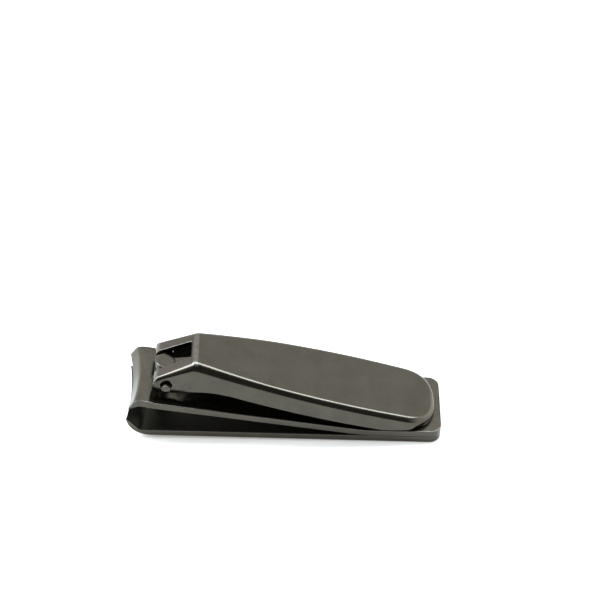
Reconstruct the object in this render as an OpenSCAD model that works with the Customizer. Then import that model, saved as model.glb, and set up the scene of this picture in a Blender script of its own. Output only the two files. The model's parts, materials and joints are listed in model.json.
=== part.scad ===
// Fingernail clipper: two sprung steel leaves riveted at the rear, a headed
// post through both leaves and a folded thumb lever on a cross pin.
// Millimetres, +X towards the riveted rear end, +Z up, resting on Z = 0.
// Most sizes are first laid out on a flat lower leaf, measured from the jaw
// end, and the whole clipper is then leaned onto its post head by rest().

/* [Leaves] */
// Length from the jaws to the rear end
leaf_len = 60; // [50:1:75]
// Width of both leaves
leaf_w = 14.6; // [12:0.1:16]
// Thickness of each leaf
leaf_t = 1.45; // [1.2:0.05:1.8]
// Angle between the two leaves
wedge_angle = 8.35; // [7.5:0.05:8.5]
// Distance from the jaws to where the leaves part
flex_x = 45.3; // [44:0.1:47.5]
// Radius of the two rear corners, seen from above
rear_corner_r = 2.2; // [1:0.1:4]

/* [Jaws] */
// Radius of the hollow cutting edges, seen from above
edge_hollow_r = 44; // [30:1:80]
// Height of the lower cutting edge above the underside
lower_edge_h = 4.2; // [3.5:0.1:4.4]
// Outer bend radius of the lower jaw
lower_bend_r = 4.6; // [4.5:0.1:6]
// Drop of the upper cutting edge below its leaf
upper_edge_drop = 0.95; // [0.6:0.05:1.2]
// Width of the ground bevel on the upper jaw
bevel_w = 1.5; // [1.3:0.05:1.8]

/* [Post and cross pin] */
// Distance from the jaws to the cross pin
pin_x = 7.6; // [7:0.1:9]
// Height of the cross pin above the upper leaf
pin_h = 2.8; // [2.8:0.05:3.2]
// Distance from the cross pin forward to the post axis
post_offset = 0.5; // [0:0.1:0.5]
// Rearward lean of the post
post_lean = 5.5; // [5:0.5:7]
// Diameter of the post
post_d = 3.8; // [3.4:0.1:3.8]
// Height of the post top above the cross pin
post_top_h = 1.75; // [1.4:0.05:1.8]
// Diameter of the post head
head_d = 5.8; // [5:0.1:6.4]
// Depth of the post head
head_t = 0.9; // [0.6:0.05:1.2]
// Diameter of the cross pin
pin_d = 1.8; // [1.5:0.1:1.9]
// Length of the cross pin that stands out of each ear
pin_proud = 1.1; // [0.4:0.1:1.2]

/* [Thumb lever] */
// Thickness of the folded lever sheet
sheet_t = 1.0; // [0.8:0.05:1.1]
// Downward slope of the main plate
plate_slope = 15; // [13:0.5:16]
// Rise of the short slanted plate in front of the knee
front_slope = 26; // [20:1:28]
// Distance from the cross pin back to the knee
knee_x = 5.5; // [5:0.1:7]
// Reach of the rounded ears around the cross pin
ear_r = 2.5; // [2.3:0.05:2.5]
// Half width across the ears
ear_half_w = 5.1; // [4.4:0.05:5.2]
// Greatest half width of the lever
lever_half_w = 7.5; // [6.5:0.05:7.6]
// Distance along the plate from the knee to the greatest width
widest_s = 31; // [25:1:35]
// Distance along the plate from the cross pin to the tail end
tail_s = 51.2; // [46:0.1:51.4]
// Distance from the cross pin to the outer face of the slanted plate
slant_r = 2.45; // [2.1:0.05:2.45]
// Depth of the ears below the cross pin
ear_drop = 1.8; // [1.4:0.1:1.9]
// Upright depth of the flanges along the main plate
flange_depth = 4.9; // [4:0.1:5.2]
// How much shallower the flange has become where it reaches the leaf
flange_taper = 0.9; // [0:0.1:1.2]
// Half width of the notch at its open front end
notch_front = 2.4; // [2.2:0.1:2.8]
// Half width of the notch at its closed rear end
notch_rear = 2.15; // [2.1:0.05:2.6]
// Distance from the cross pin back to the end of the notch
notch_x = 4.8; // [4:0.1:5]

/* [Rivets] */
// Diameter of the two rear rivets
rivet_d = 2.4; // [2:0.1:3]
// Distance from the jaws to the rivets
rivet_x = 51; // [50:0.5:54]
// Distance of each rivet from the centre line
rivet_y = 3.4; // [2.5:0.1:4.5]

/* [Hidden] */
$fn = 72;
eps = 0.01;
long = 80;
large_fn = 360;

// fits
post_clearance = 0.06;
upper_hole_extra = 0.25;
upper_slot_rear = 0.45;
upper_slot_front = 0.15;
ear_hole_r = 1.1;
ear_hole_lift = 0.15;
seat_clearance = 0.08;
stack_gap = 0.15;
cut_gap = 0.03;

// lower jaw
jaw_reach = 4.6;
edge_mid_x = edge_hollow_r - sqrt(pow(edge_hollow_r, 2) - pow(leaf_w / 2, 2));
// upper jaw: distance of its cutting edge from the flex line, along the leaf
tip_setback = 0.45;
upper_reach = (flex_x - tip_setback - upper_edge_drop * sin(wedge_angle)) / cos(wedge_angle);
bevel_step = [0.94, 1.1];

// cross pin centre, seen from the side
function leaf_top(x) = leaf_t + (flex_x - x) * tan(wedge_angle) + leaf_t / cos(wedge_angle);
pin_z = leaf_top(pin_x) + pin_h / cos(wedge_angle);
post_foot_x = pin_x - post_offset * cos(post_lean) - (pin_z + post_offset * sin(post_lean)) * tan(post_lean);
post_below = pin_z / cos(post_lean) + post_offset * tan(post_lean);

// post head: a shallow dome set into a seat that is square to the post
seat_depth = 0.3;
head_proud = head_t - seat_depth;
dome_r = 7;
dome_centre = [post_foot_x + (dome_r - head_proud) * sin(post_lean), (dome_r - head_proud) * cos(post_lean)];

// lean that puts both the dome and the rear lower edge on Z = 0
dome_reach = leaf_len - dome_centre[0];
lean = asin(dome_r / norm([dome_reach, dome_centre[1]])) - atan2(dome_centre[1], dome_reach);
front_x = -leaf_len * cos(lean) + lower_edge_h * sin(lean);
rear_x = 2 * leaf_t * sin(lean);

// lever side view, measured from the cross pin
knee_z = (slant_r + sin(front_slope) * knee_x) / cos(front_slope);
inner_z = (slant_r - sheet_t) / cos(front_slope);
nose_angle = 90 + front_slope + acos(slant_r / ear_r);
plate_drop = sheet_t / cos(plate_slope);
inner_knee_x = (knee_z + tan(plate_slope) * knee_x - plate_drop - inner_z) / (tan(front_slope) + tan(plate_slope));
inner_knee_z = inner_z + tan(front_slope) * inner_knee_x;
rest_z = 2 * leaf_t + stack_gap - pin_z;
ear_arc_end = 190;
ear_heel = [-1.05, -1.35];
ear_bottom_x = 1.2;
flange_arch = [8.5, -0.85];
flange_start_x = 12.3;
behind_tail = tail_s + 0.8;
flange_rest_x = knee_x + (knee_z - flange_depth + flange_taper - rest_z) / tan(plate_slope);
knee_s = knee_x * cos(plate_slope) - knee_z * sin(plate_slope);
side_rise = lever_half_w - ear_half_w;
side_r = (pow(widest_s, 2) + pow(side_rise, 2)) / (2 * side_rise);
side_centre_s = knee_s + widest_s;
side_centre_y = side_r - lever_half_w;
// the tail is the circle that touches both side arcs and the tail end
tail_reach = tail_s - side_centre_s;
tail_r = (pow(side_r, 2) - pow(tail_reach, 2) - pow(side_centre_y, 2)) / (2 * (side_r - tail_reach));
tail_centre_s = tail_s - tail_r;
tail_angle = atan2(side_centre_y, tail_centre_s - side_centre_s);
pin_half_l = ear_half_w + pin_proud;

function arc(r, from, to, steps = 8) = [for (i = [0 : steps]) let(a = from + (to - from) * i / steps) r * [cos(a), sin(a)]];

// Leans the clipper onto its post head and centres it
module rest() {
    translate([-(front_x + rear_x) / 2, 0, 0])
        rotate([0, lean, 0])
            translate([-leaf_len, 0, 0])
                children();
}

// Extrudes a side view, drawn as X and Z, across the given width
module across(width) {
    translate([0, width / 2, 0])
        rotate([90, 0, 0])
            linear_extrude(width)
                children();
}

// Turns a jaw's side view around the axis of the hollow cutting edge
module hollow_ring() {
    rotate_extrude($fn = large_fn)
        translate([edge_hollow_r, 0])
            children();
}

// Plan view of a leaf from x = from back to the rear end, with round corners
module leaf_plan(from) {
    straight = leaf_len - rear_corner_r;
    translate([from, -leaf_w / 2])
        square([straight - from, leaf_w]);
    translate([straight - eps, -leaf_w / 2 + rear_corner_r])
        square([rear_corner_r + eps, leaf_w - 2 * rear_corner_r]);
    for (side = [-1, 1])
        translate([straight, side * (leaf_w / 2 - rear_corner_r)])
            circle(rear_corner_r);
}

// Moves to the flex line and turns to the lie of the upper leaf
module at_flex() {
    translate([flex_x, 0, leaf_t])
        rotate([0, wedge_angle, 0])
            children();
}

// Moves to the cross pin and turns to the lie of the post
module at_pin() {
    translate([pin_x, 0, pin_z])
        rotate([0, post_lean, 0])
            children();
}

// Moves on to the axis of the post, level with the cross pin
module at_post() {
    at_pin()
        translate([-post_offset, 0, 0])
            children();
}

module rivet_holes(extra) {
    for (side = [-1, 1])
        translate([rivet_x, side * rivet_y, 0])
            rivet(extra);
}

// One rivet, countersunk flush into both leaves
module rivet(extra = 0) {
    sink = 0.5;
    flare = 0.45;
    r = rivet_d / 2 + extra;
    rotate_extrude()
        polygon([
            [0, 0], [r + flare, 0], [r, sink], [r, 2 * leaf_t - sink],
            [r + flare, 2 * leaf_t], [0, 2 * leaf_t]
        ]);
}

// Side view of the lower jaw: bent up on the outside, ground inside
module lower_jaw_profile() {
    bend_start = 270;
    bend_end = 180 + asin((lower_bend_r - lower_edge_h) / lower_bend_r);
    polygon(concat(
        [[jaw_reach + 1, 0]],
        [for (p = arc(lower_bend_r, bend_start, bend_end, 10)) p + [lower_bend_r, lower_bend_r]],
        [[0.75, 3.45], [2.1, 1.75], [2.8, leaf_t], [jaw_reach + 1, leaf_t]]
    ));
}

module lower_leaf() {
    color("dimgray") rest() difference() {
        union() {
            difference() {
                linear_extrude(leaf_t)
                    leaf_plan(0);
                translate([edge_mid_x - edge_hollow_r, 0, -eps])
                    cylinder(h = leaf_t + 2 * eps, r = edge_hollow_r + jaw_reach, $fn = large_fn);
            }
            intersection() {
                translate([edge_mid_x - edge_hollow_r, 0, 0])
                    hollow_ring()
                        lower_jaw_profile();
                translate([-1, -leaf_w / 2, -1])
                    cube([jaw_reach + 4, leaf_w, lower_edge_h + 2]);
            }
        }
        at_post() {
            translate([0, 0, -post_below - 1])
                cylinder(h = leaf_t + 4, r = post_d / 2 + post_clearance);
            translate([0, 0, -post_below - 2])
                cylinder(h = 2 + seat_depth, r = head_d / 2 + seat_clearance);
        }
        rivet_holes(eps);
    }
}

// Side view of the upper jaw: bent down, with a bevel ground outside
module upper_jaw_profile() {
    polygon([
        [0, -upper_edge_drop], bevel_step, [bevel_w, leaf_t], [jaw_reach, leaf_t],
        [jaw_reach, 0], [1.9, 0], [0.65, -0.7]
    ]);
}

module upper_leaf() {
    ring_x = -upper_reach + edge_mid_x - edge_hollow_r;
    jaw_join = jaw_reach - 1;
    color("dimgray") rest() at_flex() difference() {
        union() {
            difference() {
                translate([-upper_reach, -leaf_w / 2, 0])
                    cube([upper_reach, leaf_w, leaf_t]);
                translate([ring_x, 0, -eps])
                    cylinder(h = leaf_t + 2 * eps, r = edge_hollow_r + jaw_join, $fn = large_fn);
            }
            intersection() {
                translate([ring_x, 0, 0])
                    hollow_ring()
                        upper_jaw_profile();
                translate([-upper_reach - 1, -leaf_w / 2, -upper_edge_drop - 1])
                    cube([jaw_reach + 4, leaf_w, leaf_t + upper_edge_drop + 2]);
            }
        }
        upper_post_slot();
    }
}

// Slotted hole that lets the sprung leaf travel along the post
module upper_post_slot() {
    r = post_d / 2 + upper_hole_extra;
    at_pin_height = -(flex_x - pin_x) / cos(wedge_angle) - (leaf_t + pin_h) * tan(wedge_angle);
    centre = at_pin_height - post_offset / cos(wedge_angle - post_lean);
    cross = centre + (leaf_t / 2 + pin_h) * tan(wedge_angle - post_lean);
    for (x = [cross - upper_slot_front, cross + upper_slot_rear])
        translate([x, 0, -1])
            cylinder(h = leaf_t + 2, r = r);
    translate([cross - upper_slot_front, -r, -1])
        cube([upper_slot_front + upper_slot_rear, 2 * r, leaf_t + 2]);
}

module upper_leaf_tail() {
    color("dimgray") rest() difference() {
        translate([0, 0, leaf_t])
            linear_extrude(leaf_t)
                leaf_plan(flex_x);
        at_flex()
            translate([cut_gap - 4, -leaf_w, -1])
                cube([4, 2 * leaf_w, leaf_t + 2]);
        rivet_holes(eps);
    }
}

module rear_rivets() {
    color("gray") rest()
        for (side = [-1, 1])
            translate([rivet_x, side * rivet_y, 0])
                rivet();
}

// Headed post with a cross hole near its top
module post() {
    edge = 0.25;
    r = post_d / 2;
    color("gray") rest() at_post() difference() {
        union() {
            rotate_extrude()
                polygon([
                    [0, -post_below], [r, -post_below], [r, post_top_h - edge],
                    [r - edge, post_top_h], [0, post_top_h]
                ]);
            intersection() {
                translate([0, 0, -post_below - head_proud])
                    cylinder(h = head_t - eps, r = head_d / 2);
                translate([0, 0, -post_below - head_proud + dome_r])
                    sphere(r = dome_r, $fn = large_fn);
            }
        }
        translate([post_offset, 0, 0])
            rotate([90, 0, 0])
                cylinder(h = 2 * post_d, r = pin_d / 2 + eps, center = true);
    }
}

// Plain pin with slightly domed ends
module cross_pin() {
    edge = 0.3;
    r = pin_d / 2;
    color("gray") rest() at_pin()
        rotate([90, 0, 0])
            rotate_extrude()
                polygon([
                    [0, -pin_half_l], [r - edge, -pin_half_l], [r, -pin_half_l + edge],
                    [r, pin_half_l - edge], [r - edge, pin_half_l], [0, pin_half_l]
                ]);
}

// One side of the lever's plan view, from the knee to the tail, inset by the sheet
function lever_flank(inset) = let(r = side_r - inset)
    [for (p = arc(r, acos(-widest_s / r), tail_angle, 12)) p + [side_centre_s, -side_centre_y]];

// Plan view of the lever along its main plate, drawn inset by the sheet
module lever_plan(inset) {
    flank = lever_flank(inset);
    tail = [for (p = arc(tail_r - inset, tail_angle, 0, 12)) p + [tail_centre_s, 0]];
    half = concat([[-10, flank[0][1]]], flank, [for (i = [1 : len(tail) - 1]) tail[i]]);
    polygon(concat(half, [for (i = [len(half) - 2 : -1 : 0]) [half[i][0], -half[i][1]]]));
}

// Height of the main plate's top face above the cross pin, seen from the side
function plate_top(x) = knee_z - tan(plate_slope) * (x - knee_x);

// Side view of the lever's outer surface
module lever_side() {
    polygon(concat(
        [[behind_tail, rest_z], [behind_tail, plate_top(behind_tail)], [knee_x, knee_z]],
        arc(ear_r, nose_angle, ear_arc_end, 6),
        [ear_heel, [ear_bottom_x, -ear_drop], flange_arch],
        [[flange_start_x, plate_top(flange_start_x) - flange_depth], [flange_rest_x, rest_z]]
    ));
}

// Side view of the space inside the folded sheet
module lever_cavity_side() {
    polygon([
        [-10, -20], [-10, inner_z - tan(front_slope) * 10], [inner_knee_x, inner_knee_z],
        [long, inner_knee_z - tan(plate_slope) * (long - inner_knee_x)], [long, -60]
    ]);
}

module lever_block(inset) {
    intersection() {
        across(3 * leaf_w)
            children();
        rotate([0, plate_slope, 0])
            translate([0, 0, -20])
                linear_extrude(40)
                    lever_plan(inset);
    }
}

module thumb_lever() {
    color("slategray") rest() translate([pin_x, 0, pin_z]) difference() {
        lever_block(0)
            lever_side();
        lever_block(sheet_t)
            lever_cavity_side();
        for (side = [-1, 1])
            translate([0, side * ear_half_w, ear_hole_lift])
                rotate([90, 0, 0])
                    cylinder(h = 2.2 * sheet_t, r = ear_hole_r, center = true);
        linear_extrude(20)
            polygon([
                [-10, -notch_front], [-ear_r, -notch_front], [notch_x, -notch_rear],
                [notch_x, notch_rear], [-ear_r, notch_front], [-10, notch_front]
            ]);
    }
}

lower_leaf();
upper_leaf();
upper_leaf_tail();
rear_rivets();
post();
cross_pin();
thumb_lever();
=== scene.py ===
"""A dark steel fingernail clipper, resting on a pale floor.

Every piece is modelled in millimetres in the clipper's own layout: X runs from the jaws (0) to the
riveted rear end (60), Y across, Z up from the underside of the flat lower leaf. layout_to_frame()
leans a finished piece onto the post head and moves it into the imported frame, in metres.
"""
import json
import math
import bmesh
import bpy
from mathutils import Matrix, Vector


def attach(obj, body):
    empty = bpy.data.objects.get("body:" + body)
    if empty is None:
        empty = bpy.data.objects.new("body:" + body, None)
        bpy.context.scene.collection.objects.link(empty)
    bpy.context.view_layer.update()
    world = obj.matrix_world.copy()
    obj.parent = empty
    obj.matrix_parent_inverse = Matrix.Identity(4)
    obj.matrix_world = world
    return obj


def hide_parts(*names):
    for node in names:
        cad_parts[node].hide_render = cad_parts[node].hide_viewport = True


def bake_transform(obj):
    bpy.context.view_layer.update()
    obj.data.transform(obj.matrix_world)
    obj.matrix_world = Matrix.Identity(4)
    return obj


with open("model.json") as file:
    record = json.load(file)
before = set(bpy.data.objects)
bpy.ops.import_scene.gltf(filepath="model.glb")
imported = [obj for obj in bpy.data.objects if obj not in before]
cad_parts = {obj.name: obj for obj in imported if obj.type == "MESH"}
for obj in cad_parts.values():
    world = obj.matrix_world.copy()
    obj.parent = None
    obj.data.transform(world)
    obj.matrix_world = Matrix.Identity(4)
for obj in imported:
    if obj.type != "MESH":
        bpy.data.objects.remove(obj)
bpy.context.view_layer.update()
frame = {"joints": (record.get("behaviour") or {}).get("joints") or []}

MM = 0.001

# ---------------------------------------------------------------- driving sizes, in millimetres
# leaves
LEAF_LEN = 60.0
LEAF_W = 14.6
LEAF_T = 1.45
WEDGE = math.radians(8.35)  # slope of the upper leaf over the lower one
FLEX_X = 45.3  # where the two leaves part
BEND_HALF = 2.0  # half the length over which the upper leaf bends
REAR_CORNER_R = 2.2
LOWER_ROUNDING = 0.14  # width of the rounded edges of the lower leaf
UPPER_ROUNDING = 0.16
# jaws
EDGE_HOLLOW_R = 44.0  # radius of the hollow cutting edges, seen from above
LOWER_EDGE_H = 4.2
LOWER_BEND_R = 4.6
UPPER_EDGE_DROP = 0.95  # how far the upper edge is bent below its own leaf
TIP_SETBACK = 0.45  # how far the upper edge lies behind the lower one
JAW_REACH = 6.6  # length of the shaped part of each jaw
JAW_SWELL = 0.25  # how much thicker the upper jaw is than its leaf
CREASE_REACH = 1.6  # length of the ground bevel in front of the crease
CREASE_PINCH = 0.2  # how much shorter the bevel is at the near corner
JAW_SKEW = 0.4  # how much further forward the far corner reaches
JAW_FADE = 16.0  # where the mesh rows have gone over from hollow to straight
# post and cross pin
PIN_X = 7.6
PIN_H = 2.8  # pin axis above the upper leaf, square to the leaf
POST_LEAN = math.radians(5.5)
POST_R = 1.9
POST_OFFSET = 0.5  # how far the post axis lies in front of the pin axis
POST_TOP_H = 1.75  # top of the post above the pin axis
POST_EDGE_R = 0.2
POST_ROUNDING = 0.05
HEAD_R = 2.9
HEAD_T = 0.9
SEAT_DEPTH = 0.3  # how deep the post head sits in the lower leaf
DOME_R = 7.0
PIN_R = 0.9
PIN_PROUD = 1.1  # how far the pin stands out of each ear
FIT = 0.06  # play round the post and its head in the lower leaf
# thumb lever
SHEET_T = 1.0
PLATE_SLOPE = math.radians(15)  # fall of the main plate towards the tail
FRONT_SLOPE = math.radians(26)  # fall of the front plate towards the jaws
KNEE_X = 5.5
KNEE_R = 1.9
KNEE_BAND_HALF_W = 0.55  # half width of the band across the knee, rubbed and brightened as a painted highlight
KNEE_BAND_DEPTH = 0.45  # how far down the band is still counted as knee
FOLD_R = 1.3  # outer radius of the fold along the tail
FOLD_R_KNEE = 1.75
FOLD_R_FRONT = 0.75
FOLD_FADE = 14.0  # length behind the knee over which the fold tightens
EAR_R = 2.5
SLANT_R = 2.45  # top face of the front plate, measured square from the pin axis
EAR_HALF_W = 5.1
LEVER_HALF_W = 7.5
WIDEST_S = 31.0  # widest place, measured along the plate from the knee
TAIL_S = 51.6  # end of the tail, measured along the plate from the pin
TAIL_SQUARENESS = 0.8  # 1 gives a round tail, and less a squarer one
LEVER_ROUNDING = 0.12
EAR_DROP = 1.8
FLANGE_DEPTH = 4.9
FLANGE_TAPER = 0.9  # how much shallower the flange is where it meets the leaf
FLANGE_START_X = 12.3
ARCH = (8.5, -0.85)  # crown of the arch under the flange, from the pin
NOTCH_FRONT = 2.4  # half width of the notch at its open end
NOTCH_REAR = 2.15
NOTCH_X = 4.6
EAR_HOLE_R = 1.1
EAR_HOLE_LIFT = 0.15
FAR_HOLE_R = 0.98
STACK_GAP = 0.15  # gap between the lever's resting edge and the leaf
OVERHEAD = 20.0  # any height above the whole lever
# rivets
RIVET_R = 1.2
RIVET_FLARE = 0.45
RIVET_SINK = 0.5
RIVET_X = 51.0
RIVET_Y = 3.4
# mesh detail
LEAF_COLUMNS = 24
CORNER_STEPS = 10
MERGE = 0.004  # vertices nearer than this become one before edges are rounded

# ---------------------------------------------------------------- derived places
HALF_W = LEAF_W / 2
EDGE_MID_X = EDGE_HOLLOW_R - math.sqrt(EDGE_HOLLOW_R ** 2 - HALF_W ** 2)
UPPER_REACH = (FLEX_X - TIP_SETBACK - UPPER_EDGE_DROP * math.sin(WEDGE)) / math.cos(WEDGE)
LEAF_TOP_AT_PIN = LEAF_T + (FLEX_X - PIN_X) * math.tan(WEDGE) + LEAF_T / math.cos(WEDGE)
PIN_Z = LEAF_TOP_AT_PIN + PIN_H / math.cos(WEDGE)
PIN_HALF_L = EAR_HALF_W + PIN_PROUD
POST_BELOW = PIN_Z / math.cos(POST_LEAN) + POST_OFFSET * math.tan(POST_LEAN)
HEAD_PROUD = HEAD_T - SEAT_DEPTH
REST_Z = 2 * LEAF_T + STACK_GAP - PIN_Z
TURN = PLATE_SLOPE + FRONT_SLOPE


# ---------------------------------------------------------------- placing
def layout_to_frame():
    """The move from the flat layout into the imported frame, worked out from two of its joints."""
    places = {joint["name"]: Vector(joint["pos_m"]) for joint in frame["joints"]}
    flex = places["jaw_squeeze"]
    stands = places["lever_lift"] - flex
    laid = Vector((PIN_X - FLEX_X, 0, PIN_Z - LEAF_T))
    lean = math.atan2(laid.z, laid.x) - math.atan2(stands.z, stands.x)
    turned = Matrix.Translation(flex) @ Matrix.Rotation(lean, 4, "Y") @ Matrix.Scale(MM, 4)
    return turned @ Matrix.Translation((-FLEX_X, 0, -LEAF_T))


def at_pin(lean=0.0):
    """The cross pin's place in the layout, turned about it by a lean towards the rear."""
    return Matrix.Translation((PIN_X, 0, PIN_Z)) @ Matrix.Rotation(lean, 4, "Y")


def at_post():
    """The post axis, level with the cross pin, turned to the lean of the post."""
    return at_pin(POST_LEAN) @ Matrix.Translation((-POST_OFFSET, 0, 0))


def at_flex():
    """The flex line's place in the layout, turned to the lie of the upper leaf."""
    return Matrix.Translation((FLEX_X, 0, LEAF_T)) @ Matrix.Rotation(WEDGE, 4, "Y")


# ---------------------------------------------------------------- outlines
def cos_of(degrees):
    return math.cos(math.radians(degrees))


def sin_of(degrees):
    return math.sin(math.radians(degrees))


def spread(start, stop, steps):
    return [start + (stop - start) * i / steps for i in range(steps + 1)]


def arc(r, start, stop, steps, centre=(0.0, 0.0)):
    """Points on a circle from one angle to another, in degrees."""
    return [(centre[0] + r * cos_of(a), centre[1] + r * sin_of(a)) for a in spread(start, stop, steps)]


def rounded(points, radii, steps=6, closed=False):
    """A polyline with rounded corners; radii holds one radius for each point."""
    largest_share = 0.48
    line = []
    count = len(points)
    for i, (point, radius) in enumerate(zip(points, radii)):
        here = Vector(point)
        is_end = not closed and i in (0, count - 1)
        if radius <= 0 or is_end:
            line.append(tuple(here))
            continue
        back = Vector(points[i - 1]) - here
        ahead = Vector(points[(i + 1) % count]) - here
        half = back.angle(ahead) / 2
        reach = min(radius / math.tan(half), largest_share * min(back.length, ahead.length))
        fitted = reach * math.tan(half)
        centre = here + (back.normalized() + ahead.normalized()).normalized() * (fitted / math.sin(half))
        first = here + back.normalized() * reach - centre
        last = here + ahead.normalized() * reach - centre
        start = math.atan2(first.y, first.x)
        sweep = (math.atan2(last.y, last.x) - start + math.pi) % (2 * math.pi) - math.pi
        for angle in spread(start, start + sweep, steps):
            line.append((centre.x + fitted * math.cos(angle), centre.y + fitted * math.sin(angle)))
    return line


# ---------------------------------------------------------------- mesh helpers
def grid_faces(bm, rows):
    """Faces between neighbouring rows of vertices; repeated vertices make triangles."""
    for row, following in zip(rows, rows[1:]):
        for j in range(len(row) - 1):
            corners = []
            for vertex in (row[j], row[j + 1], following[j + 1], following[j]):
                if vertex not in corners:
                    corners.append(vertex)
            if len(corners) > 2:
                bm.faces.new(corners)


def mesh_object(name, bm):
    """A new object from a bmesh, with its faces turned outwards."""
    bmesh.ops.recalc_face_normals(bm, faces=bm.faces)
    mesh = bpy.data.meshes.new(name)
    bm.to_mesh(mesh)
    bm.free()
    obj = bpy.data.objects.new(name, mesh)
    bpy.context.scene.collection.objects.link(obj)
    return obj


def prism(outline, low, high, side_view):
    """A cutter from a closed outline: a side view in X and Z, or a plan in X and Y."""
    bm = bmesh.new()
    rings = []
    for offset in (low, high):
        ring = [(a, offset, b) if side_view else (a, b, offset) for a, b in outline]
        rings.append([bm.verts.new(point) for point in ring])
    bm.faces.new(rings[0])
    bm.faces.new(rings[1])
    grid_faces(bm, [ring + ring[:1] for ring in rings])
    return mesh_object("cutter", bm)


def lathe(name, profile, steps=72):
    """A solid turned about Z from (radius, height) points, whose two ends lie on the axis."""
    bm = bmesh.new()
    rows = []
    for r, z in profile:
        if r < 1e-6:
            rows.append([bm.verts.new((0, 0, z))] * (steps + 1))
        else:
            ring = [bm.verts.new((x, y, z)) for x, y in arc(r, 0, 360, steps)[:-1]]
            rows.append(ring + ring[:1])
    grid_faces(bm, rows)
    return mesh_object(name, bm)


def cylinder(r, low, high):
    """A cutter about Z."""
    return lathe("cutter", [(0, low), (r, low), (r, high), (0, high)])


def moved(obj, matrix):
    """The same object, with its mesh moved."""
    obj.data.transform(matrix)
    return obj


def bake_modifiers(obj):
    """Replaces the mesh by what its modifiers make of it."""
    bpy.context.view_layer.update()
    evaluated = obj.evaluated_get(bpy.context.evaluated_depsgraph_get())
    mesh = bpy.data.meshes.new_from_object(evaluated)
    mesh.name = obj.name
    obj.modifiers.clear()
    obj.data = mesh


def boolean(obj, cutter, operation="DIFFERENCE"):
    """Cuts obj with another object, which is then removed."""
    modifier = obj.modifiers.new("cut", "BOOLEAN")
    modifier.operation = operation
    modifier.solver = "EXACT"
    modifier.object = cutter
    bake_modifiers(obj)
    bpy.data.objects.remove(cutter)


def soften(obj, width, angle=33.0, is_keen=None):
    """Rounds the edges sharper than angle, in degrees, and gives the roundings the worn material.

    Edges whose two ends are both keen stay nearly sharp.
    """
    keen_share = 0.25
    crisp_angle = math.radians(38)
    bm = bmesh.new()
    bm.from_mesh(obj.data)
    bmesh.ops.remove_doubles(bm, verts=bm.verts, dist=MERGE)
    bmesh.ops.dissolve_degenerate(bm, edges=bm.edges, dist=MERGE)
    weight = bm.edges.layers.float.new("bevel_weight_edge")
    for edge in bm.edges:
        if len(edge.link_faces) == 2 and edge.calc_face_angle(0) > math.radians(angle):
            keen = is_keen is not None and all(is_keen(v.co) for v in edge.verts)
            edge[weight] = keen_share if keen else 1.0
    bm.to_mesh(obj.data)
    bm.free()
    bevel = obj.modifiers.new("rounding", "BEVEL")
    bevel.limit_method = "WEIGHT"
    bevel.width = width
    bevel.segments = 3
    bevel.use_clamp_overlap = False
    bevel.miter_outer = "MITER_ARC"
    bevel.material = 1
    bake_modifiers(obj)
    obj.data.shade_smooth()
    obj.data.set_sharp_from_angle(angle=crisp_angle)
    normals = obj.modifiers.new("flat_faces", "WEIGHTED_NORMAL")
    normals.keep_sharp = True
    bake_modifiers(obj)


def finish_piece(obj, nodes, body=None):
    """Moves a piece into the frame, hides the CAD nodes it stands for and attaches it to the body it
    rides on.
    """
    obj.data.transform(layout_to_frame())
    if body:
        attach(obj, body)
    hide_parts(*nodes)
    return obj


def coat(obj, *materials):
    """Gives a piece its materials: the first covers its faces, the second its rounded edges."""
    for material in materials:
        obj.data.materials.append(material)
    return obj


def paint(obj, material, is_painted):
    """Gives one of the piece's materials to the faces for which is_painted(face) is true."""
    slot = obj.data.materials.find(material.name)
    for face in obj.data.polygons:
        if is_painted(face):
            face.material_index = slot


# ---------------------------------------------------------------- leaves
def hollowed_x(reach, y, pinch=0.0, skew=0.0):
    """Place along the leaf of a point that lies reach behind the hollow cutting edge.

    pinch narrows the ground bevel towards the near corner, most of all at its crease.
    skew carries the far corner forward, and fades out behind the jaw.
    """
    share = max(0, min(reach / CREASE_REACH, (3 * CREASE_REACH - reach) / (2 * CREASE_REACH)))
    forward = pinch * share * max(0, -y / HALF_W) ** 2
    forward += skew * max(0, 1 - reach / JAW_REACH) * max(0, y / HALF_W)
    return EDGE_MID_X - EDGE_HOLLOW_R + math.sqrt((EDGE_HOLLOW_R + reach) ** 2 - y * y) - forward


def leaf_rows(bm, line, length, bend_x, to_side, *uneven):
    """Rows of vertices across one face of a leaf, from its cutting edge to its rear end.

    line holds (reach, height) points from the cutting edge back to the flat face, to_side places a
    point of the flat leaf in the layout, and uneven holds the pinch and skew of hollowed_x().
    """
    straight = length - REAR_CORNER_R
    rows = []

    def add_row(half, height, place):
        sides = spread(-half, half, LEAF_COLUMNS)
        rows.append([bm.verts.new(to_side(place(y), y, height)) for y in sides])

    for reach, height in line:
        add_row(HALF_W, height, lambda y: hollowed_x(reach, y, *uneven))
    level = line[-1][1]
    for reach in spread(JAW_REACH, JAW_FADE, 4)[1:]:
        fade = (reach - JAW_REACH) / (JAW_FADE - JAW_REACH)
        add_row(HALF_W, level, lambda y: (1 - fade) * hollowed_x(reach, y) + fade * (reach + EDGE_MID_X))
    bend = spread(bend_x - BEND_HALF, bend_x + BEND_HALF, 10)
    for x in spread(JAW_FADE + EDGE_MID_X, bend[0], 6)[1:-1] + bend + [straight]:
        add_row(HALF_W, level, lambda y: x)
    for dx, dy in arc(REAR_CORNER_R, 90, 0, CORNER_STEPS)[1:]:
        add_row(HALF_W - REAR_CORNER_R + dy, level, lambda y: straight + dx)
    return rows


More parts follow.
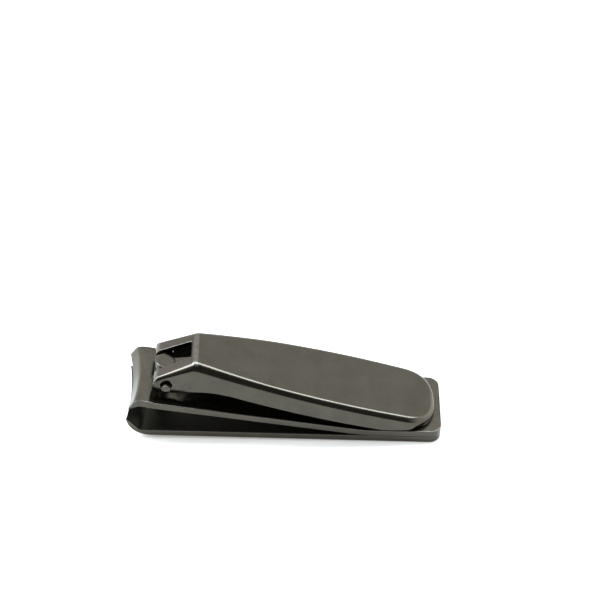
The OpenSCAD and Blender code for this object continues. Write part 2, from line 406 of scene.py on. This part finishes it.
def leaf_solid(name, outer, inner, length, bend_x, to_side, *uneven):
    """A leaf between its outer and inner face, with flat sides and round rear corners."""
    bm = bmesh.new()
    faces = [leaf_rows(bm, line, length, bend_x, to_side, *uneven) for line in (outer, inner)]
    for rows in faces:
        grid_faces(bm, rows)
    for side in (0, -1):
        columns = [[row[side] for row in rows] for rows in faces]
        flats = [column[:-CORNER_STEPS] for column in columns]
        bm.faces.new(flats[0] + flats[1][:0:-1])
        grid_faces(bm, [column[-CORNER_STEPS - 1:] for column in columns])
        bmesh.ops.pointmerge(bm, verts=[flats[0][0], flats[1][0]], merge_co=flats[0][0].co)
    grid_faces(bm, [rows[-1] for rows in faces])
    bmesh.ops.remove_doubles(bm, verts=bm.verts, dist=MERGE / 2)
    return mesh_object(name, bm)


def flat_side(x, y, height):
    return (x, y, height)


def bent_side(x, y, height):
    """Lays a point of the flat upper leaf along the smooth bend at the flex line."""
    past = x - UPPER_REACH
    turn_r = BEND_HALF / math.tan(WEDGE / 2)
    share = min(1, max(0, (BEND_HALF - past) / (2 * BEND_HALF)))
    angle = WEDGE * share
    straight = max(0, past - BEND_HALF) if past > 0 else min(0, past + BEND_HALF)
    foot_x = FLEX_X + BEND_HALF - turn_r * math.sin(angle) + straight * math.cos(angle)
    foot_z = LEAF_T + turn_r * (1 - math.cos(angle)) - straight * math.sin(angle)
    return (foot_x + height * math.sin(angle), y, foot_z + height * math.cos(angle))


def cut_rivet_holes(leaf):
    for side in (-1, 1):
        hole = lathe("cutter", rivet_profile(extra=0.02, past=0.3))
        boolean(leaf, moved(hole, Matrix.Translation((RIVET_X, side * RIVET_Y, 0))))


def lower_leaf(steel, worn, scale):
    """The flat leaf, bent up into a jaw, with the seat for the post head and painted shade on its upper
    face.
    """
    edge_angle = 180 + math.degrees(math.asin((LOWER_BEND_R - LOWER_EDGE_H) / LOWER_BEND_R))
    centre = (LOWER_BEND_R, LOWER_BEND_R)
    outer = arc(LOWER_BEND_R, edge_angle, 270, 14, centre) + [(JAW_REACH, 0)]
    edge = outer[0]
    inner_line = [edge, (0.75, 3.45), (2.1, 1.75), (2.8, LEAF_T), (JAW_REACH, LEAF_T)]
    inner = rounded(inner_line, [0, 0, 1.2, 1.2, 0], 4)
    leaf = leaf_solid("lower_leaf_steel", outer, inner, LEAF_LEN, FLEX_X, flat_side)
    coat(leaf, steel, worn, scale)
    boolean(leaf, moved(cylinder(POST_R + FIT, -POST_BELOW - 1, -POST_BELOW + 3), at_post()))
    seat = cylinder(HEAD_R + FIT, -POST_BELOW - 2, -POST_BELOW + SEAT_DEPTH)
    boolean(leaf, moved(seat, at_post()))
    cut_rivet_holes(leaf)
    soften(leaf, LOWER_ROUNDING, is_keen=lambda co: co.z > LOWER_EDGE_H - 0.05)
    # the upper face, hidden under the upper leaf, gets darker, rougher steel as painted shade
    paint(leaf, scale, lambda face: face.material_index == 0 and face.normal.z > 0.25)
    return finish_piece(leaf, ["lower_leaf"], "leaves")


def upper_leaf(steel, worn):
    """The sprung leaf: one strip from its bevelled jaw to the riveted rear end.

    The crease of the bevel is rounded, but it isn't rubbed bright like the other edges.
    """
    edge = (0, -UPPER_EDGE_DROP)
    crease = (CREASE_REACH, LEAF_T + 0.5 * JAW_SWELL)
    swelling = [
        (2.3, LEAF_T + 0.95 * JAW_SWELL),
        (3.6, LEAF_T + JAW_SWELL),
        (5.0, LEAF_T),
        (JAW_REACH, LEAF_T),
    ]
    outer = rounded([edge, (0.88, 1.15), crease] + swelling, [0, 1.6, 0, 2.0, 1.5, 2.5, 0], 5)
    inner_line = [edge, (0.65, -0.7), (2.0, 0.15), (3.1, 0.15), (4.6, 0), (JAW_REACH, 0)]
    inner = rounded(inner_line, [0, 0, 1.0, 2.0, 2.0, 0], 4)
    length = UPPER_REACH + LEAF_LEN - FLEX_X
    leaf = leaf_solid(
        "upper_leaf_steel", outer, inner, length, UPPER_REACH, bent_side, CREASE_PINCH, JAW_SKEW
    )
    coat(leaf, steel, worn)
    boolean(leaf, moved(upper_slot(), at_flex()))
    cut_rivet_holes(leaf)
    to_flex = at_flex().inverted()
    edge_band = -0.5 * UPPER_EDGE_DROP
    crease_end = CREASE_REACH + 1.0 - UPPER_REACH

    def is_crease(face):
        centre = to_flex @ face.center
        normal = to_flex.to_3x3() @ face.normal
        faces_up = normal.z > 0.2 and abs(normal.y) < 0.4
        return faces_up and centre.x < crease_end and centre.z > edge_band

    soften(leaf, UPPER_ROUNDING, is_keen=lambda co: (to_flex @ co).z < edge_band)
    paint(leaf, steel, is_crease)
    finish_piece(leaf, ["upper_leaf", "upper_leaf_tail"])
    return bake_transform(leaf)


def upper_slot():
    """The slot that lets the sprung leaf travel along the leaning post."""
    r = POST_R + 0.25
    rear, front = 0.45, 0.15
    pin_along = -(FLEX_X - PIN_X) / math.cos(WEDGE) - (LEAF_T + PIN_H) * math.tan(WEDGE)
    centre = pin_along - POST_OFFSET / math.cos(WEDGE - POST_LEAN)
    cross = centre + (LEAF_T / 2 + PIN_H) * math.tan(WEDGE - POST_LEAN)
    outline = arc(r, -90, 90, 24, (cross + rear, 0)) + arc(r, 90, 270, 24, (cross - front, 0))
    return prism(outline, -1, LEAF_T + 1, side_view=False)


# ---------------------------------------------------------------- rivets
def rivet_profile(extra, past):
    """Half section of a rivet's hole; extra widens it and past carries it out of the leaves."""
    r = RIVET_R + extra
    flare = r + RIVET_FLARE
    top = 2 * LEAF_T
    return [
        (0, -past), (flare, -past), (flare, 0), (r, RIVET_SINK),
        (r, top - RIVET_SINK), (flare, top), (flare, top + past), (0, top + past),
    ]


def rear_rivets(steel):
    """Two flush rivets, each a very shallow dome within its countersink."""
    flare = RIVET_R + RIVET_FLARE
    top = 2 * LEAF_T
    face = [(0, 0), (0.4 * flare, 0.005), (0.8 * flare, 0.02), (0.94 * flare, 0.05), (flare, 0.11)]
    waist = [(RIVET_R, RIVET_SINK), (RIVET_R, top - RIVET_SINK)]
    profile = face + waist + [(r, top - z) for r, z in reversed(face)]
    for number, side in enumerate((-1, 1), 1):
        rivet = coat(lathe(f"rivet_{number}", profile, 48), steel)
        moved(rivet, Matrix.Translation((RIVET_X, side * RIVET_Y, 0)))
        rivet.data.shade_smooth()
        rivet.data.set_sharp_from_angle(angle=math.radians(30))
        finish_piece(rivet, ["rear_rivets"], "leaves")


# ---------------------------------------------------------------- post and cross pin
def post(steel, worn):
    """The headed post: a shallow dome below, a flat round-edged top above the cross hole."""
    foot = -POST_BELOW - HEAD_PROUD
    corner, corner_h, chamfer = 0.1, 0.12, 0.05
    dome = [(r, foot + DOME_R - math.sqrt(DOME_R ** 2 - r * r)) for r in spread(0, HEAD_R - corner, 10)]
    head = [
        (HEAD_R, dome[-1][1] + corner_h),
        (HEAD_R, foot + HEAD_T - chamfer),
        (HEAD_R - chamfer, foot + HEAD_T),
    ]
    shoulder = [(POST_R, foot + HEAD_T)]
    rim = arc(POST_EDGE_R, 0, 90, 5, (POST_R - POST_EDGE_R, POST_TOP_H - POST_EDGE_R))
    body = coat(lathe("post_steel", dome + head + shoulder + rim + [(0, POST_TOP_H)], 96), steel, worn)
    across = Matrix.Translation((POST_OFFSET, 0, 0)) @ Matrix.Rotation(math.pi / 2, 4, "X")
    boolean(body, moved(cylinder(PIN_R + 0.01, -4, 4), across))
    soften(body, POST_ROUNDING)
    moved(body, at_post())
    return finish_piece(body, ["post"], "post")


def cross_pin(steel):
    """The plain pin, with domed ends that stand out of the lever's ears."""
    crown, shoulder = 0.16, 0.2
    flat = PIN_R - shoulder
    dome_r = (flat ** 2 + crown ** 2) / (2 * crown)
    top = PIN_HALF_L - dome_r
    dome = [(r, top + math.sqrt(dome_r ** 2 - r * r)) for r in spread(flat, 0, 6)]
    corner = arc(shoulder, 0, 70, 4, (flat, dome[0][1] - shoulder))
    half = corner + dome
    profile = [(r, -z) for r, z in reversed(half)] + half
    body = coat(lathe("cross_pin_steel", profile, 48), steel)
    body.data.shade_smooth()
    body.data.set_sharp_from_angle(angle=math.radians(35))
    moved(body, at_pin(POST_LEAN) @ Matrix.Rotation(math.pi / 2, 4, "X"))
    return finish_piece(body, ["cross_pin"], "post")


# ---------------------------------------------------------------- thumb lever
def plate_place(x, z):
    """A side-view point as (distance along the main plate, height above it), from the cross pin."""
    cos, sin = math.cos(PLATE_SLOPE), math.sin(PLATE_SLOPE)
    return x * cos - z * sin, x * sin + z * cos


KNEE_Z = (SLANT_R + math.sin(FRONT_SLOPE) * KNEE_X) / math.cos(FRONT_SLOPE)
KNEE_S, KNEE_H = plate_place(KNEE_X, KNEE_Z)
SIDE_RISE = LEVER_HALF_W - EAR_HALF_W
SIDE_R = (WIDEST_S ** 2 + SIDE_RISE ** 2) / (2 * SIDE_RISE)
SIDE_S = KNEE_S + WIDEST_S
SIDE_Y = SIDE_R - LEVER_HALF_W
TAIL_REACH = TAIL_S - SIDE_S
TAIL_R = (SIDE_R ** 2 - TAIL_REACH ** 2 - SIDE_Y ** 2) / (2 * (SIDE_R - TAIL_REACH))
TAIL_CENTRE = TAIL_S - TAIL_R
TAIL_ANGLE = math.degrees(math.atan2(SIDE_Y, TAIL_CENTRE - SIDE_S))


def plan_side(s, inset):
    """(half width, outline angle) of the plan at s, in front of the tail's round end."""
    if s <= KNEE_S:
        return EAR_HALF_W - inset, 90.0
    side_r = SIDE_R - inset
    angle = math.acos((s - SIDE_S) / side_r)
    return side_r * math.sin(angle) - SIDE_Y, math.degrees(angle)


def lever_stations(inset, front):
    """(s, y, outline angle) down one side of the plan, from the front to the middle of the tail."""
    knee = spread(KNEE_S - KNEE_R, KNEE_S, 8)[1:] + spread(KNEE_S, KNEE_S + KNEE_R, 8)[1:]
    places = spread(front, KNEE_S - KNEE_R, 5) + knee
    stations = [(s, *plan_side(s, inset)) for s in places]
    side_r = SIDE_R - inset
    for angle in spread(stations[-1][2], TAIL_ANGLE, 24)[1:]:
        s, y = SIDE_S + side_r * cos_of(angle), side_r * sin_of(angle) - SIDE_Y
        stations.append((s, y, angle))
    tail_r = TAIL_R - inset
    steepness = 2 - TAIL_SQUARENESS
    for angle in spread(TAIL_ANGLE, 0, 28)[1:]:
        s = TAIL_CENTRE + tail_r * cos_of(angle) ** TAIL_SQUARENESS
        y = tail_r * sin_of(angle) ** TAIL_SQUARENESS
        turned = math.atan2(sin_of(angle) ** steepness, cos_of(angle) ** steepness)
        stations.append((s, y, math.degrees(turned)))
    return stations


def plate_surface(s, inset):
    """Height of the folded plate at s and the lean of its normal, smooth over the knee."""
    radius = KNEE_R - inset
    knee_s = KNEE_S + inset * math.tan(TURN / 2)
    height = KNEE_H - inset
    arc_end = knee_s + radius * math.tan(TURN / 2)
    arc_start = arc_end - radius * math.sin(TURN)
    if s >= arc_end:
        return height, 0.0
    if s <= arc_start:
        return height + (s - knee_s) * math.tan(TURN), TURN
    lean = math.asin((arc_end - s) / radius)
    return height - radius * (1 - math.cos(lean)), lean


def fold_radius(s):
    """Outer radius of the fold: widest at the knee, tighter towards the front and the tail."""
    if s > KNEE_S:
        return FOLD_R + (FOLD_R_KNEE - FOLD_R) * max(0, 1 - (s - KNEE_S) / FOLD_FADE)
    share = max(0, (s + EAR_R) / (KNEE_S + EAR_R))
    return FOLD_R_FRONT + share * (FOLD_R_KNEE - FOLD_R_FRONT)


def lever_plug(inset, front, floor_h):
    """The solid under the folded plate, with its upper edge rounded all the way round.

    inset is 0 for the outer faces of the sheet and SHEET_T for the inner ones. front and floor_h
    say where the solid ends in front of the ears and below the flanges.
    """
    bm = bmesh.new()
    loops = []
    for s, y, angle in lever_stations(inset, front):
        height, lean = plate_surface(s, inset)
        fold_r = max(0.1, fold_radius(s) - inset)
        column = []
        for across, up in arc(fold_r, 0, 90, 7):
            drop, pull = fold_r - up, fold_r - across
            along = s + drop * math.sin(lean)
            if lean > 0:
                y, angle = plan_side(along, inset)
            side = y - pull * sin_of(angle)
            column.append((along - pull * cos_of(angle), side, height - drop * math.cos(lean)))
        foot = (column[0][0], column[0][1], floor_h)
        loops.append([foot] + column)
    rows = []
    for loop in loops:
        left = [bm.verts.new((s, y, h)) for s, y, h in loop]
        right = [bm.verts.new((s, -y, h)) for s, y, h in loop]
        rows.append(left + right[::-1])
    grid_faces(bm, [row + row[:1] for row in rows])
    bm.faces.new(rows[0])
    bmesh.ops.remove_doubles(bm, verts=bm.verts, dist=MERGE / 8)
    return moved(mesh_object("plug", bm), at_pin(PLATE_SLOPE))


def lever_side():
    """Side view of the lever's ears, arched flanges and resting edge, open above the plate."""
    behind = TAIL_S + 0.8
    slope = math.tan(PLATE_SLOPE)
    start = (FLANGE_START_X, KNEE_Z - slope * (FLANGE_START_X - KNEE_X) - FLANGE_DEPTH)
    rest_x = KNEE_X + (KNEE_Z - FLANGE_DEPTH + FLANGE_TAPER - REST_Z) / slope
    nose = arc(EAR_R, 90 + math.degrees(FRONT_SLOPE), 190, 14)
    lead = nose[0][0] - OVERHEAD * math.sin(FRONT_SLOPE)
    lower = [nose[-1], (-1.05, -1.35), (1.2, -EAR_DROP), ARCH, start, (rest_x, REST_Z), (behind, REST_Z)]
    lower = rounded(lower, [0, 1.0, 3.0, 14.0, 14.0, 12.0, 0], 8)
    return [(behind, OVERHEAD), (lead, OVERHEAD)] + nose[:-1] + lower


def is_on_knee(place):
    """True for a point of the band across the knee, given in the plate's coordinates."""
    return abs(place.x - KNEE_S) < KNEE_BAND_HALF_W and place.z > KNEE_H - KNEE_BAND_DEPTH


def is_inside_fold(place):
    """True for a point of the lever's inner faces, given in the plate's coordinates."""
    near = 0.05
    if place.z > plate_surface(place.x, SHEET_T)[0] + near:
        return False
    if place.x > TAIL_CENTRE:
        power = 2 / TAIL_SQUARENESS
        reach = ((place.x - TAIL_CENTRE) ** power + abs(place.y) ** power) ** (1 / power)
        return reach < TAIL_R - SHEET_T + near
    return abs(place.y) < plan_side(place.x, SHEET_T)[0] + near


def thumb_lever(steel, worn, rubbed, scale):
    """The folded sheet: knee, rounded fold, ears with pin holes, and the notch for the post; painted
    shade darkens its inner faces and a painted highlight brightens its rubbed knee.
    """
    front, floor_h = -6.0, -12.0
    beyond, clear, drill = 2.0, 9.0, SHEET_T + 0.1
    lever = lever_plug(0.0, front, floor_h)
    lever.name = "thumb_lever_steel"
    coat(lever, steel, worn, rubbed, scale)
    boolean(lever, lever_plug(SHEET_T, front - beyond, floor_h - beyond))
    flanks = prism(lever_side(), -clear, clear, side_view=True)
    boolean(lever, moved(flanks, at_pin()), "INTERSECT")
    notch = [(-clear, -NOTCH_FRONT), (-EAR_R, -NOTCH_FRONT), (NOTCH_X, -NOTCH_REAR)]
    notch = notch + [(x, -y) for x, y in reversed(notch)]
    notch = rounded(notch, [0, 0, 0.3, 0.3, 0, 0], 4, closed=True)
    boolean(lever, moved(prism(notch, 0, OVERHEAD, side_view=False), at_pin()))
    for side, r, lift in ((-1, EAR_HOLE_R, EAR_HOLE_LIFT), (1, FAR_HOLE_R, 0)):
        hole = moved(cylinder(r, -drill, drill), Matrix.Rotation(math.pi / 2, 4, "X"))
        boolean(lever, moved(hole, at_pin() @ Matrix.Translation((0, side * EAR_HALF_W, lift))))
    soften(lever, LEVER_ROUNDING, angle=20)
    to_plate = at_pin(PLATE_SLOPE).inverted()
    # the inner faces of the fold get darker, rougher steel as painted shade
    paint(lever, scale, lambda face: is_inside_fold(to_plate @ face.center))
    # the knee band gets brighter steel: rubbed wear and a painted highlight
    paint(lever, rubbed, lambda face: is_on_knee(to_plate @ face.center))
    return finish_piece(lever, ["thumb_lever"], "lever")


# ---------------------------------------------------------------- materials
class Nodes:
    """The node tree of a material or a world, with short calls to add and link nodes."""

    def __init__(self, owner):
        self.owner = owner
        self.owner.use_nodes = True
        self.tree = self.owner.node_tree

    def add(self, kind, inputs=None, **settings):
        node = self.tree.nodes.new(kind)
        for key, value in settings.items():
            setattr(node, key, value)
        for key, value in (inputs or {}).items():
            socket = node.inputs[key]
            if isinstance(value, bpy.types.NodeSocket):
                self.tree.links.new(value, socket)
            else:
                socket.default_value = value
        return node

    def noise(self, vector, scale, detail=4.0, rough=0.55):
        return self.add(
            "ShaderNodeTexNoise",
            {"Vector": vector, "Scale": scale, "Detail": detail, "Roughness": rough},
        ).outputs["Fac"]

    def stretch(self, vector, scale, turn=0.0):
        return self.add(
            "ShaderNodeMapping", {"Vector": vector, "Scale": scale, "Rotation": (0, 0, turn)}
        ).outputs["Vector"]

    def remap(self, value, low, high, to_low, to_high, kind="LINEAR"):
        return self.add(
            "ShaderNodeMapRange",
            {"Value": value, "From Min": low, "From Max": high, "To Min": to_low, "To Max": to_high},
            interpolation_type=kind,
        ).outputs["Result"]

    def math(self, operation, first, second):
        return self.add("ShaderNodeMath", {0: first, 1: second}, operation=operation).outputs[0]

    def mix(self, share, first, second):
        node = self.add("ShaderNodeMix", {"Factor": share}, data_type="RGBA")
        for socket, value in ((node.inputs[6], first), (node.inputs[7], second)):
            if isinstance(value, bpy.types.NodeSocket):
                self.tree.links.new(value, socket)
            else:
                socket.default_value = value
        return node.outputs[2]

    def bump(self, height, strength, distance, normal=None):
        inputs = {"Height": height, "Strength": strength, "Distance": distance}
        if normal is not None:
            inputs["Normal"] = normal
        return self.add("ShaderNodeBump", inputs).outputs["Normal"]

    def metal(self, colour, roughness, normal):
        """Links the sockets to the shader of a bare metal, and gives back the material."""
        inputs = self.tree.nodes["Principled BSDF"].inputs
        for key, value in (("Base Color", colour), ("Roughness", roughness), ("Normal", normal)):
            self.tree.links.new(value, inputs[key])
        inputs["Metallic"].default_value = 1.0
        return self.owner


def shade(colour, factor):
    return tuple(channel * factor for channel in colour) + (1.0,)


def dark_steel(name, colour, roughness, grain, stain=0.12, scratch=0.1, relief=0.15):
    """Blued steel: grinding lines along the piece, cloudy stains and a few fine scratches."""
    n = Nodes(bpy.data.materials.new(name))
    place = n.add("ShaderNodeTexCoord").outputs["Object"]
    mm = n.stretch(place, (1 / MM, 1 / MM, 1 / MM))
    lines = n.noise(n.stretch(mm, grain), 1.0, 5.0, 0.7)
    clouds = n.noise(mm, 0.22, 6.0, 0.62)
    spots = n.noise(mm, 1.1, 5.0, 0.6)
    hairs = n.noise(n.stretch(mm, (0.08, 3.2, 3.2), 0.35), 1.0, 2.0, 0.4)
    hair = n.remap(n.math("ABSOLUTE", n.math("SUBTRACT", hairs, 0.5), 0.0), 0.0, 0.012, 1.0, 0.0)
    light, dark = shade(colour, 1.0 + stain), shade(colour, 1.0 - stain)
    tone = n.mix(n.remap(clouds, 0.35, 0.65, 0.0, 1.0), dark, light)
    tone = n.mix(n.remap(spots, 0.56, 0.72, 0.0, 0.5), tone, shade(colour, 1.0 - 1.6 * stain))
    tone = n.mix(n.remap(lines, 0.3, 0.7, 0.0, 0.35), tone, shade(colour, 1.25))
    tone = n.mix(n.math("MULTIPLY", hair, scratch), tone, shade(colour, 1.8))
    rough = n.remap(lines, 0.25, 0.75, roughness - 0.05, roughness + 0.06)
    rough = n.math("ADD", rough, n.remap(spots, 0.3, 0.75, -0.03, 0.06))
    normal = n.bump(lines, relief, 0.01 * MM)
    normal = n.bump(clouds, 0.15, 0.1 * MM, normal)
    return n.metal(tone, rough, normal)


def patchy_steel(name, colour, roughness, patchy=0.2):
    """Steel without grinding lines, for rubbed edges, for the rubbed knee brightened as a painted
    highlight, and for the painted shade on inner faces.
    """
    n = Nodes(bpy.data.materials.new(name))
    place = n.add("ShaderNodeTexCoord").outputs["Object"]
    mm = n.stretch(place, (1 / MM, 1 / MM, 1 / MM))
    rub = n.noise(mm, 1.6, 5.0, 0.65)
    light, dark = shade(colour, 1 + patchy), shade(colour, 1 - patchy)
    tone = n.mix(n.remap(rub, 0.35, 0.65, 0.0, 1.0), dark, light)
    rough = n.remap(rub, 0.3, 0.7, roughness - 0.04, roughness + 0.08)
    return n.metal(tone, rough, n.bump(rub, 0.1, 0.05 * MM))


# ---------------------------------------------------------------- scene
def pale_floor():
    """A large plain sheet that glows a little, so that the shadow on it stays light."""
    radius = 1.5
    bm = bmesh.new()
    rim = [bm.verts.new((x, y, 0)) for x, y in arc(radius, 0, 360, 64)[:-1]]
    bm.faces.new(rim)
    floor = mesh_object("floor", bm)
    n = Nodes(bpy.data.materials.new("pale_floor"))
    place = n.add("ShaderNodeTexCoord").outputs["Object"]
    grain = n.noise(place, 60.0, 3.0, 0.5)
    tone = n.mix(n.remap(grain, 0.3, 0.7, 0.0, 1.0), (0.52, 0.505, 0.49, 1), (0.54, 0.525, 0.51, 1))
    inputs = n.tree.nodes["Principled BSDF"].inputs
    n.tree.links.new(tone, inputs["Base Color"])
    inputs["Roughness"].default_value = 0.9
    inputs["Emission Color"].default_value = (1, 0.99, 0.97, 1)
    inputs["Emission Strength"].default_value = 0.3
    floor.data.materials.append(n.owner)


def area_light(name, place, target, size, power, colour):
    """A rectangular lamp that faces a target; size is its width and height in metres."""
    data = bpy.data.lights.new(name, "AREA")
    data.shape = "RECTANGLE"
    data.size, data.size_y = size
    data.energy = power
    data.color = colour
    light = bpy.data.objects.new(name, data)
    light.location = place
    light.rotation_euler = (Vector(target) - Vector(place)).to_track_quat("-Z", "Y").to_euler()
    bpy.context.scene.collection.objects.link(light)


def white_room():
    """Light from all round: white behind the clipper, brightest at both sides, dim in front."""
    n = Nodes(bpy.data.worlds.new("white_room"))
    direction = n.add("ShaderNodeTexCoord").outputs["Generated"]
    parts = n.add("ShaderNodeSeparateXYZ", {"Vector": direction}).outputs
    wall = n.remap(parts["Y"], -0.35, 0.6, 0.2, 1.9, "SMOOTHSTEP")
    sides = n.remap(n.math("ABSOLUTE", parts["X"], 0.0), 0.5, 0.9, 0.0, 2.2, "SMOOTHSTEP")
    background = n.tree.nodes["Background"].inputs
    n.tree.links.new(n.math("ADD", wall, sides), background["Strength"])
    background["Color"].default_value = (1, 1, 1, 1)
    bpy.context.scene.world = n.owner
    bpy.context.scene.view_settings.view_transform = "Standard"


def soft_boxes():
    """Two large cool lamps: one above and a little behind the clipper, one high on the left."""
    rise, reach = math.radians(72), 0.5
    above = (0, reach * math.cos(rise), reach * math.sin(rise))
    cool = (0.82, 0.93, 1.0)
    area_light("soft_box", above, (0, 0, 0), (0.8, 0.2), 6.8, cool)
    area_light("left_box", (-0.4, 0.02, 0.42), (0, 0, 0), (0.22, 0.4), 4.6, cool)


def camera():
    """A long lens, 44 degrees above the floor, with a slight roll.

    distance, slide and rise are metres, from a target just above the middle of the floor.
    """
    azimuth, elevation, roll = (math.radians(a) for a in (0.94, 44.0, 1.71))
    distance, slide, rise = 0.39959, 0.00297, 0.01805
    target = Vector((0, 0, 0.005))
    level = Vector((math.cos(azimuth), -math.sin(azimuth), 0))
    flat = math.cos(elevation)
    forward = Vector((math.sin(azimuth) * flat, math.cos(azimuth) * flat, -math.sin(elevation)))
    upright = level.cross(forward)
    right = math.cos(roll) * level + math.sin(roll) * upright
    up = math.cos(roll) * upright - math.sin(roll) * level
    data = bpy.data.cameras.new("camera")
    data.lens = 124.98
    data.sensor_width = 36
    data.clip_start = 0.01
    obj = bpy.data.objects.new("camera", data)
    turn = Matrix((right, up, -forward)).transposed().to_4x4()
    obj.matrix_world = Matrix.Translation(target - distance * forward + slide * right + rise * up) @ turn
    bpy.context.scene.collection.objects.link(obj)
    bpy.context.scene.camera = obj


leaf_steel = dark_steel("leaf_steel", (0.058, 0.053, 0.043), 0.20, (0.12, 9.0, 9.0))
lever_steel = dark_steel("lever_steel", (0.056, 0.0515, 0.042), 0.14, (0.8, 5.0, 5.0))
pin_steel = dark_steel("pin_steel", (0.060, 0.056, 0.046), 0.16, (1.5, 1.5, 1.5), relief=0.03)
worn_edge = patchy_steel("worn_edge", (0.1, 0.096, 0.086), 0.2)
# brighter steel for the knee band: rubbed wear and a painted highlight
knee_rub_and_highlight = patchy_steel("knee_rub_and_highlight", (0.085, 0.08, 0.07), 0.22, 0.06)
# darker, rougher steel for inner faces: painted shade
inner_painted_shade = patchy_steel("inner_painted_shade", (0.03, 0.028, 0.023), 0.45, 0.1)

lower_leaf(leaf_steel, worn_edge, inner_painted_shade)
upper_leaf(leaf_steel, worn_edge)
rear_rivets(pin_steel)
post(pin_steel, worn_edge)
cross_pin(pin_steel)
thumb_lever(lever_steel, worn_edge, knee_rub_and_highlight, inner_painted_shade)
pale_floor()
white_room()
soft_boxes()
camera()
